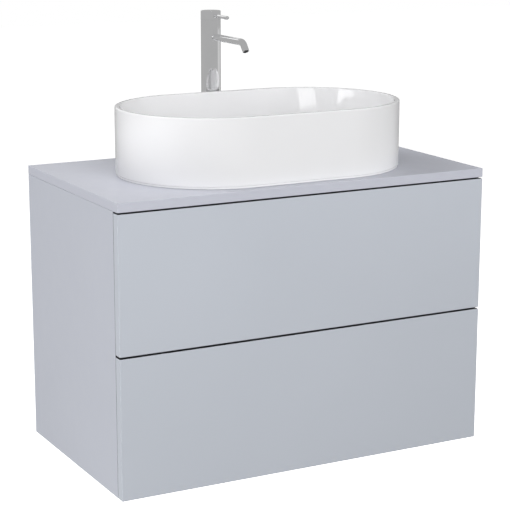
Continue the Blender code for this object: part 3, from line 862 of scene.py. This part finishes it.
@dataclass
class Basin:
    """The oblong vessel basin: upright walls, half-round ends, a dished floor and a foot ring."""

    wall: float = 10.0 * MM
    rim_round: float = 3.0 * MM
    fillet: float = 36.0 * MM
    lean: float = 21.1 * MM        # inner wall, carried on down to the floor
    floor: float = 17.0 * MM       # height of the floor where the wall's fillet ends
    dish: float = 85.0 * MM        # radius where the floor starts to fall towards the drain
    drain: float = 23.5 * MM
    seat: float = 32.5 * MM        # recess for the waste's flange
    seat_height: float = 10.0 * MM
    boss: float = 36.0 * MM        # round boss under the drain
    boss_height: float = 0.8 * MM
    hollow: float = 5.0 * MM       # height of the hollow under the floor
    foot_width: float = 12.0 * MM
    foot_height: float = 4.4 * MM
    foot_inset: float = 0.7 * MM
    groove: float = 2.0 * MM       # depth of the line above the foot ring
    groove_height: float = 0.9 * MM
    bead_inset: float = 16.0 * MM
    oblong_from: float = 120.0 * MM   # radius beyond which a ring is a full oblong
    end_points: int = 72
    side_points: int = 10

    def __post_init__(self) -> None:
        """Read the basin's box from the frame."""
        self.low, self.high = corners_of("basin")
        self.top = float(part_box("worktop")[1].z)
        self.centre = (self.low + self.high) / 2
        self.full = (self.high[1] - self.low[1]) / 2
        self.straight = (self.high[0] - self.low[0]) / 2 - self.full

    def rings(self, section: np.ndarray) -> np.ndarray:
        """Carry a section of (radius, height) round the basin.

        A ring is two half circles about centres that stand apart by twice the straight half
        length.  That length shrinks smoothly to nothing between the flat of the floor and the
        drain, and the points' angles even out with it, so that the oblong becomes a circle.

        Args:
            section: (radius, height above the worktop), N by 2.

        Returns:
            The grid, N by ring points by 3.
        """
        ends, sides = self.end_points, self.side_points
        quarter = math.pi / 2
        angle = np.concatenate([
            np.linspace(-quarter, quarter, ends), np.full(sides, quarter),
            np.linspace(quarter, 3 * quarter, ends), np.full(sides, 3 * quarter)])
        shift = np.linspace(1.0, -1.0, sides + 2)[1:-1]
        sign = np.concatenate([np.ones(ends), shift, -np.ones(ends), -shift])
        even = -quarter + TAU * (np.arange(len(angle)) + 0.5 - sides / 2) / len(angle)
        radius, height = section[:, 0], section[:, 1]
        t = np.clip((radius - self.boss) / (self.oblong_from - self.boss), 0.0, 1.0)
        share = (t * t * (3.0 - 2.0 * t))[:, None]
        a = share * angle[None, :] + (1.0 - share) * even[None, :]
        x = self.centre[0] + share * self.straight * sign[None, :] + radius[:, None] * np.cos(a)
        y = self.centre[1] + radius[:, None] * np.sin(a)
        z = np.broadcast_to((self.top + height)[:, None], x.shape)
        return np.stack([x, y, z], axis=2)

    def build(self) -> None:
        """Build the ceramic shell and the sealant bead under it."""
        full, inside = self.full, self.full - self.wall
        height = self.high[2] - self.top
        foot = full - self.foot_inset
        gap = self.low[2] - self.top
        line = full - self.groove
        line_top = self.foot_height + self.groove_height
        underneath = [
            (self.drain, self.boss_height, 0.3 * MM), (self.boss, self.boss_height, 0.8 * MM),
            (self.boss + 3.0 * MM, self.hollow, 1.5 * MM),
            (foot - self.foot_width - 2.0 * MM, self.hollow, 2.0 * MM),
            (foot - self.foot_width, gap, 0.5 * MM), (foot, gap, 1.1 * MM)]
        outside = [
            (foot, self.foot_height, 0.3 * MM), (line, self.foot_height, 0.3 * MM),
            (line, line_top, 0.3 * MM), (full, line_top, 0.4 * MM),
            (full, height, self.rim_round), (inside, height, self.rim_round)]
        bowl = [
            (inside - self.lean, self.floor, self.fillet), (self.dish, self.floor - 0.9 * MM, 20.0 * MM),
            (self.seat + 1.5 * MM, self.seat_height + 3.6 * MM, 0.8 * MM),
            (self.seat, self.seat_height, 0.4 * MM), (self.drain, self.seat_height, 0.6 * MM)]
        section = rounded_outline(underneath + outside + bowl, True, 9, 10.0 * MM)
        shell = skin("basin_shell", self.rings(section), Ends.JOINED, Finish.GLAZE)
        fit(shell, "cabinet", Finish.GLAZE, "basin")
        bead, bead_top = foot - self.bead_inset, 4.4 * MM
        bead_section = rounded_outline([
            (bead, gap, 0.3 * MM), (bead, bead_top, 1.5 * MM), (bead - 5.0 * MM, bead_top, 1.5 * MM),
            (bead - 6.5 * MM, gap, 0.3 * MM)], True, 4, 10.0 * MM)
        fit(skin("basin_bead", self.rings(bead_section), Ends.JOINED, Finish.SILICONE), "cabinet",
            Finish.SILICONE, "basin_seal")


@dataclass
class Waste:
    """The plug that rises out of the basin's drain."""

    stem: float = 4.0 * MM
    rim_drop: float = 4.0 * MM     # from the dome's middle to the underside of its rim

    def build(self) -> None:
        """Build the plug as a shallow dome on its stem."""
        low, high = corners_of("waste_plug")
        axis = StraightAxis(((low[0] + high[0]) / 2, (low[1] + high[1]) / 2, 0.0))
        reach, rim = (high[0] - low[0]) / 2, high[2] - self.rim_drop
        plug = turned("waste_plug_dome", [
            (0.0, low[2], 0.0), (self.stem, low[2], 0.6 * MM), (self.stem, rim, 0.5 * MM),
            (reach - 1.5 * MM, rim, 0.6 * MM), (reach, rim + 1.1 * MM, 1.0 * MM),
            (reach - 1.6 * MM, rim + 2.4 * MM, 1.2 * MM), (15.0 * MM, high[2] - 0.35 * MM, 30.0 * MM),
            (0.0, high[2], 0.0)], axis, Finish.CHROME, closed=False)
        fit(plug, "plug", Finish.CHROME, "waste_plug")


@dataclass
class Trap:
    """The bottle trap under the basin: tail, slip nuts, cup, outlet pipe and wall flange."""

    pipe: float = 16.0 * MM
    pipe_bore: float = 14.5 * MM
    edge: float = 0.5 * MM
    collar: float = 2.5 * MM       # thickness of the tail's collar
    inlet_thread: float = 21.1 * MM
    neck_thread: float = 21.8 * MM
    outlet_thread: float = 19.3 * MM
    inlet_lip: float = 6.8 * MM
    slip_lip: float = 3.6 * MM     # lip of the nuts at the neck and the outlet
    cup_wall: float = 3.2 * MM
    cup_floor: float = 3.5 * MM

    def __post_init__(self) -> None:
        """Leave the nuts and the flange a fine gap round the pipe."""
        self.throat = self.pipe + 0.3 * MM

    def build(self) -> None:
        """Build the turned pieces on the trap's upright axis and on its level outlet axis."""
        self.build_upright()
        self.build_level()

    def turn(self, node: str, corners: list[tuple[float, float, float]], axis: StraightAxis,
             closed: bool = True) -> None:
        """Turn one chrome piece that stands for a CAD node.

        Args:
            node: the CAD node.
            corners: (radius, distance, corner radius) of its section.
            axis: the axis to turn about.
            closed: False for a section that starts and ends on the axis.
        """
        piece = turned(node + "_turned", corners, axis, Finish.CHROME, 72, closed, 4)
        fit(piece, "cabinet", Finish.CHROME, node)

    def nut(self, node: str, axis: StraightAxis, outer: float, thread: float, start: float, end: float,
            lip: float) -> None:
        """Turn a slip nut: a collar round a thread, with an inward lip at its starting end.

        Args:
            node: the CAD node.
            axis: the axis to turn about.
            outer: the nut's outer radius.
            thread: radius of the thread it runs on.
            start: distance of the end with the lip.
            end: distance of the open end.
            lip: the lip's thickness.
        """
        inside = start + math.copysign(lip, end - start)
        self.turn(node, [
            (self.throat, start, self.edge), (outer, start, 1.2 * MM), (outer, end, 0.8 * MM),
            (thread, end, 0.3 * MM), (thread, inside, 0.4 * MM), (self.throat, inside, 0.3 * MM)], axis)

    def build_upright(self) -> None:
        """Build the tail, the two nuts on it and the cup below."""
        low, high = corners_of("trap_tail")
        axis = StraightAxis(((low[0] + high[0]) / 2, (low[1] + high[1]) / 2, 0.0))
        outer, step = (high[0] - low[0]) / 2, high[2] - self.collar
        self.turn("trap_tail", [
            (self.pipe_bore, low[2], 0.3 * MM), (self.pipe, low[2], 0.3 * MM),
            (self.pipe, step, 0.5 * MM), (outer, step, 0.4 * MM), (outer, high[2], 0.4 * MM),
            (self.pipe_bore, high[2], 0.4 * MM)], axis)
        low, high = corners_of("trap_inlet_nut")
        outer = (high[0] - low[0]) / 2
        self.nut("trap_inlet_nut", axis, outer, self.inlet_thread, low[2], high[2], self.inlet_lip)
        low, high = corners_of("trap_neck_nut")
        outer = (high[0] - low[0]) / 2
        self.nut("trap_neck_nut", axis, outer, self.neck_thread, high[2], low[2], self.slip_lip)
        low, high = corners_of("trap_cup")
        outer, under, floor = (high[0] - low[0]) / 2, low[2], low[2] + self.cup_floor
        inner = outer - self.cup_wall
        self.turn("trap_cup", [
            (0.0, under, 0.0), (outer - 7.0 * MM, under, 4.0 * MM), (outer, under + 7.0 * MM, 7.0 * MM),
            (outer, high[2], 0.6 * MM), (inner, high[2], 0.4 * MM), (inner, under + 11.0 * MM, 4.0 * MM),
            (outer - 9.0 * MM, floor, 3.0 * MM), (0.0, floor, 0.0)], axis, False)

    def build_level(self) -> None:
        """Build the outlet nut, the pipe to the wall and its flange."""
        low, high = corners_of("outlet_pipe")
        middle = (low + high) / 2
        axis = StraightAxis((middle[0], 0.0, middle[2]), (0.0, 1.0, 0.0))
        self.turn("outlet_pipe", [
            (self.pipe_bore, low[1], 0.3 * MM), (self.pipe, low[1], 0.3 * MM),
            (self.pipe, high[1], 0.3 * MM), (self.pipe_bore, high[1], 0.3 * MM)], axis)
        low, high = corners_of("trap_outlet_nut")
        outer = (high[0] - low[0]) / 2
        self.nut("trap_outlet_nut", axis, outer, self.outlet_thread, high[1], low[1], self.slip_lip)
        low, high = corners_of("wall_flange")
        outer, wall = (high[0] - low[0]) / 2, high[1]
        self.turn("wall_flange", [
            (self.throat, wall, 0.2 * MM), (outer, wall, 0.3 * MM), (outer, wall - 1.8 * MM, 0.8 * MM),
            (outer - 6.0 * MM, wall - 5.4 * MM, 8.0 * MM), (self.pipe + 2.0 * MM, low[1], 0.8 * MM),
            (self.throat, low[1], 0.4 * MM)], axis)


@dataclass
class Tap:
    """The tall column, its turning cap and rod, and the bent spout."""

    edge: float = 0.45 * MM
    seam: float = 0.05 * MM        # what shows of the gap between the column and its cap
    wall: float = 4.4 * MM         # of the column
    web: tuple[float, float] = (257.0 * MM, 260.0 * MM)   # floor and top of the web in the column
    cap_base: float = 2.0 * MM     # length of the cap that fits in the column's bore
    stem: float = 4.3 * MM         # socket in the cap for the cartridge's stem
    cap_top: float = 5.9 * MM      # solid metal over that socket
    lever_round: float = 1.7 * MM
    spout_wall: float = 1.4 * MM
    bend: float = 51.5             # degrees
    bend_radius: float = 16.2 * MM
    tip: float = 14.1 * MM         # straight end of the spout
    aerator_depth: float = 8.0 * MM
    count: int = 160

    def build(self) -> None:
        """Build the column, cap, lever, spout and aerator."""
        low, high = corners_of("tap_body")
        centre = (low + high) / 2
        radius = (high[0] - low[0]) / 2
        axis = StraightAxis((centre[0], centre[1], 0.0))
        self.build_column(axis, radius, low[2])
        self.build_cap(axis, radius)
        self.build_lever()
        self.build_spout()

    def build_column(self, axis: StraightAxis, radius: float, foot: float) -> None:
        """Build the column, open below and above the web that carries the cartridge.

        Args:
            axis: the column's axis.
            radius: its outer radius.
            foot: height of its lower end.
        """
        bore = radius - self.wall
        top = corners_of("worktop")[1][2]
        low_web, high_web = top + self.web[0], top + self.web[1]
        lip = corners_of("tap_cap")[0][2] - self.seam
        column = turned("tap_column", [
            (0.0, low_web, 0.0), (bore, low_web, 0.5 * MM), (bore, foot, 0.3 * MM),
            (radius, foot, self.edge), (radius, lip, self.seam), (bore, lip, 0.3 * MM),
            (bore, high_web, 0.5 * MM), (0.0, high_web, 0.0)], axis, Finish.CHROME, self.count, False)
        fit(column, "cabinet", Finish.CHROME, "tap_body")

    def build_cap(self, axis: StraightAxis, radius: float) -> None:
        """Build the turning cap with the socket for the stem.

        Args:
            axis: the column's axis.
            radius: the cap's outer radius.
        """
        low, high = corners_of("tap_cap")
        bore, socket, base = radius - self.wall, high[2] - self.cap_top, low[2] + self.cap_base
        cap = turned("tap_cap_turned", [
            (0.0, socket, 0.0), (self.stem, socket, 0.3 * MM), (self.stem, base, 0.3 * MM),
            (bore, base, 0.4 * MM), (bore, low[2], 0.3 * MM), (radius, low[2], self.seam),
            (radius, high[2], 0.7 * MM), (0.0, high[2], 0.0)], axis, Finish.CHROME, self.count, False)
        fit(cap, "tap_handle", Finish.CHROME, "tap_cap")

    def build_lever(self) -> None:
        """Build the rod as a turned bar with a softly rounded tip."""
        low, high = corners_of("tap_lever")
        centre = (low + high) / 2
        radius = (high[2] - low[2]) / 2
        length = high[1] - low[1]
        axis = StraightAxis((centre[0], high[1], centre[2]), (0.0, -1.0, 0.0))
        rod = turned("tap_lever_rod", [
            (0.0, 0.0, 0.0), (radius, 0.0, 0.5 * MM), (radius, length, self.lever_round),
            (0.0, length, 0.0)], axis, Finish.CHROME, 64, False)
        fit(rod, "tap_handle", Finish.CHROME, "tap_lever")

    def build_spout(self) -> None:
        """Build the spout as a turned tube wall on a bent axis, with the aerator in its mouth."""
        low, high = corners_of("tap_spout")
        radius = (high[0] - low[0]) / 2
        bend = math.radians(self.bend)
        start = (float(low[0] + high[0]) / 2, float(high[1]), float(high[2]) - radius)
        past_run = (self.bend_radius + radius) * math.sin(bend) + self.tip * math.cos(bend)
        run = float(high[1] - low[1]) - past_run
        axis = BentAxis(start, run, self.bend_radius, bend)
        length = run + self.bend_radius * bend + self.tip
        bore = radius - self.spout_wall
        tube = turned("tap_spout_tube", [
            (bore, 0.0, 0.3 * MM), (radius, 0.0, 0.3 * MM), (radius, length, 0.5 * MM),
            (bore, length, 0.4 * MM)], axis, Finish.CHROME, 80, True, 5, 1.2 * MM)
        fit(tube, "cabinet", Finish.CHROME, "tap_spout")
        shell, back = bore - 0.3 * MM, length - self.aerator_depth
        rim, face = length - 0.7 * MM, length - 1.2 * MM
        insert = turned("tap_aerator_insert", [
            (0.0, back, 0.0), (shell, back, 0.3 * MM), (shell, rim, 0.3 * MM),
            (shell - 0.8 * MM, rim, 0.2 * MM), (shell - 1.0 * MM, face, 0.2 * MM), (0.0, face, 0.0)],
            axis, Finish.BLACK_PLASTIC, 48, False, 3, 4.0 * MM)
        fit(insert, "cabinet", Finish.BLACK_PLASTIC, "tap_aerator")


# ---------------------------------------------------------------------------
# CAD nodes that keep their shape
# ---------------------------------------------------------------------------
def dress_cad_nodes(frame: dict) -> None:
    """Give every CAD node the finish of its slot, with painted shade on the front edges of carcass
    boards at the front.

    Args:
        frame: the loaded frame.
    """
    by_slot = {finish.slot: finish for finish in Finish if finish is not Finish.CARCASS_EDGED}
    for part in frame["record"]["subparts"]:
        node = frame["nodes"][part["node"]]
        finish = by_slot[part["material_slot"]]
        # carcass boards at the front get painted shade on their front edges
        if finish is Finish.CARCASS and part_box(part["node"])[0].y < FRONT_ZONE:
            finish = Finish.CARCASS_EDGED
        node.data.materials.clear()
        node.data.materials.append(finish.material)
    LOG.info("dressed %d CAD nodes", len(frame["nodes"]))


# ---------------------------------------------------------------------------
# Studio
# ---------------------------------------------------------------------------
@dataclass(frozen=True)
class SoftBox:
    """One large soft light, placed by its bearing and climb as seen from the cabinet."""

    name: str
    bearing: float                 # degrees left of straight ahead
    climb: float                   # degrees above level
    power: float
    distance: float = 4.0
    size: float = 2.2
    centre: tuple[float, float, float] = (0.0, -0.25, -0.1)

    def build(self) -> None:
        """Add the area light, turned to face the cabinet and left out of reflections."""
        data = bpy.data.lights.new(self.name, "AREA")
        data.shape = "SQUARE"
        data.size, data.energy = self.size, self.power
        light = bpy.data.objects.new(self.name, data)
        bpy.context.scene.collection.objects.link(light)
        bearing, climb = math.radians(self.bearing), math.radians(self.climb)
        level = math.cos(climb)
        away = Vector((-math.sin(bearing) * level, -math.cos(bearing) * level, math.sin(climb)))
        light.location = Vector(self.centre) + self.distance * away
        light.rotation_euler = away.to_track_quat("Z", "Y").to_euler()
        light.visible_glossy = False
        light.visible_camera = False


@dataclass(frozen=True)
class Card:
    """A glowing panel that only polished surfaces see."""

    name: str
    corners: tuple[tuple[float, float, float], ...]
    glow: float

    def build(self) -> None:
        """Add the panel as one flat face."""
        mesh = bpy.data.meshes.new(self.name)
        mesh.from_pydata(list(self.corners), [], [tuple(range(len(self.corners)))])
        panel = bpy.data.objects.new(self.name, mesh)
        bpy.context.scene.collection.objects.link(panel)
        material = bpy.data.materials.new(self.name + "_glow")
        material.use_nodes = True
        tree = material.node_tree
        tree.nodes.clear()
        glow, out = tree.nodes.new("ShaderNodeEmission"), tree.nodes.new("ShaderNodeOutputMaterial")
        glow.inputs["Strength"].default_value = self.glow
        tree.links.new(glow.outputs[0], out.inputs["Surface"])
        mesh.materials.append(material)
        panel.visible_camera = False
        panel.visible_diffuse = False
        panel.visible_shadow = False
        panel.visible_transmission = False
        panel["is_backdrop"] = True


@dataclass
class Studio:
    """Pale floor, soft light and the camera."""

    surround: float = 0.02         # brightness of the even light from all round
    reflected: float = 0.423       # brightness that polished surfaces see all round
    floor_drop: float = 0.28
    floor_reach: float = 12.0
    eye: tuple[float, float, float] = (-1.5486, -3.1506, 0.5744)   # camera, above the worktop's top
    turn: float = 27.9367          # degrees to the right of +Y
    dip: float = 12.9034           # degrees below level
    roll: float = 0.0645
    lens: float = 116.95           # millimetres on a 36 mm wide frame
    lights: tuple[SoftBox | Card, ...] = (
        SoftBox("front_right", -60.0, 12.0, 57.0),
        SoftBox("front_high", 0.0, 45.0, 50.0),
        SoftBox("back_left_high", 130.0, 45.0, 58.0),
        SoftBox("beside_camera", 28.0, 12.0, 80.0),
        SoftBox("left_overhead", 110.0, 65.0, 17.0),
        SoftBox("behind_high", 175.0, 40.0, 15.0),
        SoftBox("near_overhead", 45.0, 60.0, 11.0),
        SoftBox("left_low", 80.0, -20.0, 74.0),
        Card("window_left", WINDOW_LEFT, 3.5),
        Card("window_right", WINDOW_RIGHT, 4.2),
        Card("band_right", BAND_RIGHT, 0.60),
        Card("band_back", BAND_BACK, 1.3),
    )

    def build(self) -> None:
        """Build the whole studio."""
        self.build_world()
        self.build_floor()
        self.build_camera()
        for light in self.lights:
            light.build()
        scene = bpy.context.scene
        scene.view_settings.view_transform = "Standard"
        scene.view_settings.look = "None"

    def build_world(self) -> None:
        """White to the camera, one grey for reflections and another for light."""
        world = bpy.data.worlds.new("studio")
        bpy.context.scene.world = world
        world.use_nodes = True
        tree = world.node_tree
        tree.nodes.clear()
        path = tree.nodes.new("ShaderNodeLightPath")
        below = self.grey(tree, self.surround).outputs[0]
        for ray, value in (("Is Glossy Ray", self.reflected), ("Is Camera Ray", 1.0)):
            mix = tree.nodes.new("ShaderNodeMixShader")
            tree.links.new(path.outputs[ray], mix.inputs[0])
            tree.links.new(below, mix.inputs[1])
            tree.links.new(self.grey(tree, value).outputs[0], mix.inputs[2])
            below = mix.outputs[0]
        out = tree.nodes.new("ShaderNodeOutputWorld")
        tree.links.new(below, out.inputs["Surface"])

    @staticmethod
    def grey(tree: bpy.types.NodeTree, value: float) -> bpy.types.Node:
        """An even grey background of one brightness."""
        node = tree.nodes.new("ShaderNodeBackground")
        node.inputs["Color"].default_value = (value, value, value, 1.0)
        return node

    def build_floor(self) -> None:
        """A plain pale floor well below the hanging cabinet."""
        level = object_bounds()[0][2] - self.floor_drop
        mesh = bpy.data.meshes.new("floor")
        far = self.floor_reach
        corners = [(-far, -far, level), (far, -far, level), (far, far, level), (-far, far, level)]
        mesh.from_pydata(corners, [], [(0, 1, 2, 3)])
        floor = bpy.data.objects.new("floor", mesh)
        bpy.context.scene.collection.objects.link(floor)
        material = bpy.data.materials.new("pale_floor")
        material.use_nodes = True
        shader = material.node_tree.nodes["Principled BSDF"]
        shader.inputs["Base Color"].default_value = (0.9, 0.9, 0.9, 1.0)
        shader.inputs["Emission Color"].default_value = (1.0, 1.0, 1.0, 1.0)
        shader.inputs["Emission Strength"].default_value = 1.0
        shader.inputs["Roughness"].default_value = 0.9
        mesh.materials.append(material)
        floor.visible_glossy = False
        floor.visible_diffuse = False
        floor.visible_shadow = False
        floor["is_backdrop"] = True

    def build_camera(self) -> None:
        """A long lens from the front left, a little above the worktop."""
        data = bpy.data.cameras.new("camera")
        data.lens = self.lens
        data.sensor_width = 36.0
        data.clip_end = 50.0
        camera = bpy.data.objects.new("camera", data)
        bpy.context.scene.collection.objects.link(camera)
        top = float(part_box("worktop")[1].z)
        camera.location = (self.eye[0], self.eye[1], self.eye[2] + top)
        bearing = Matrix.Rotation(math.radians(-self.turn), 3, "Z")
        climb = Matrix.Rotation(math.radians(90.0 - self.dip), 3, "X")
        level = Matrix.Rotation(math.radians(self.roll), 3, "Z")
        camera.rotation_euler = (bearing @ climb @ level).to_euler()
        bpy.context.scene.camera = camera


def main() -> None:
    """Load the frame, build and dress every piece, and set the studio."""
    logging.basicConfig(level=logging.INFO, format="%(name)s: %(message)s")
    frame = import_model()
    dress_cad_nodes(frame)
    for assembly in (Cabinet(), Basin(), Waste(), Trap(), Tap(), Studio()):
        assembly.build()
        LOG.info("built %s", type(assembly).__name__.lower())


if __name__ == "__main__":
    main()
